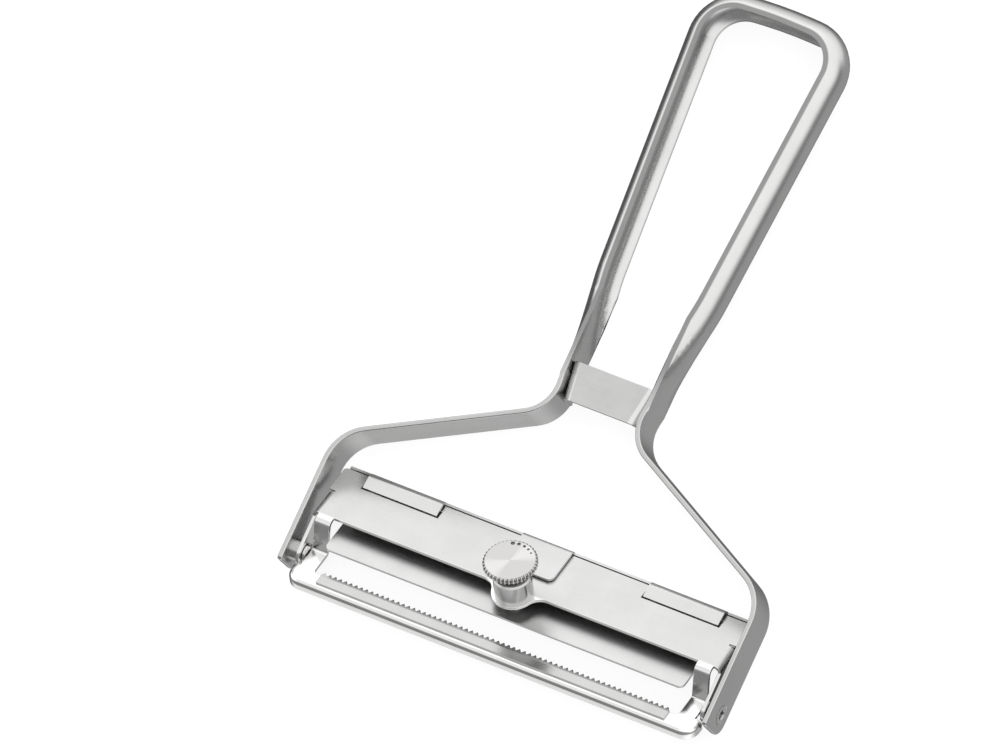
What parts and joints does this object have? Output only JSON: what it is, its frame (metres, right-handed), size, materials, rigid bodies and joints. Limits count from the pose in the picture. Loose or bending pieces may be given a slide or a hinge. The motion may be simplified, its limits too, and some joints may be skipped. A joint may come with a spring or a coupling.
{
  "type": "wide peeler",
  "caption": "Wide steel hand peeler: a strap bent into a loop handle and arms carries a swinging head with a serrated blade, a hinged depth plate and a knurled setting knob.",
  "frame": {"origin": "middle of the whole peeler's box, at its bottom, with the peeler lying on its back on a table", "axes": "X along the blade, +Y along the handle to the top of its loop, +Z to the front, where the knob is"},
  "size_m": [0.14, 0.205, 0.027],
  "materials": {
    "handle_strap": "satin ground steel strap",
    "bridge_plate": "satin steel",
    "left_pivot_rivet": "bright turned steel",
    "right_pivot_rivet": "bright turned steel",
    "left_pivot_washer": "bright steel",
    "right_pivot_washer": "bright steel",
    "head_frame": "satin front, polished necks and bar",
    "serrated_blade": "ground steel",
    "threaded_boss": "turned steel",
    "depth_plate": "satin steel",
    "adjusting_stud": "turned steel",
    "adjusting_knob": "turned and knurled steel"
  },
  "bodies": {
    "handle": {"handle_strap": "handle_strap", "bridge_plate": "bridge_plate", "left_pivot_rivet": "left_pivot_rivet", "right_pivot_rivet": "right_pivot_rivet", "left_pivot_washer": "left_pivot_washer", "right_pivot_washer": "right_pivot_washer"},
    "head": {"head_frame": "head_frame", "serrated_blade": "serrated_blade", "threaded_boss": "threaded_boss"},
    "depth_plate": {"depth_plate": "depth_plate"},
    "screw": {"adjusting_stud": "adjusting_stud"},
    "knob": {"adjusting_knob": "adjusting_knob"}
  },
  "joints": [
    {"name": "head_swing", "type": "hinge", "parent": "handle", "child": "head", "pos_m": [0, -0.09149, 0.0052], "axis": [1, 0, 0], "range_deg": [-32, 87]},
    {"name": "depth_plate_tilt", "type": "hinge", "parent": "head", "child": "depth_plate", "pos_m": [0, -0.06541, 0.00339], "axis": [-1, 0, 0], "range_deg": [0, 4.6]},
    {"name": "screw_travel", "type": "slide", "parent": "head", "child": "screw", "axis": [0, 0.463, 0.8864], "range_m": [0, 0.0014]},
    {"name": "knob_turn", "type": "hinge", "parent": "screw", "child": "knob", "pos_m": [0, -0.07642, 0.02099], "axis": [0, 0.463, 0.8864], "range_deg": [0, 630]}
  ],
  "couplings": [
    {"joint": "screw_travel", "follows": "knob_turn", "m_per_rad": 0.00012732},
    {"joint": "depth_plate_tilt", "follows": "knob_turn", "ratio": 0.007301}
  ]
}
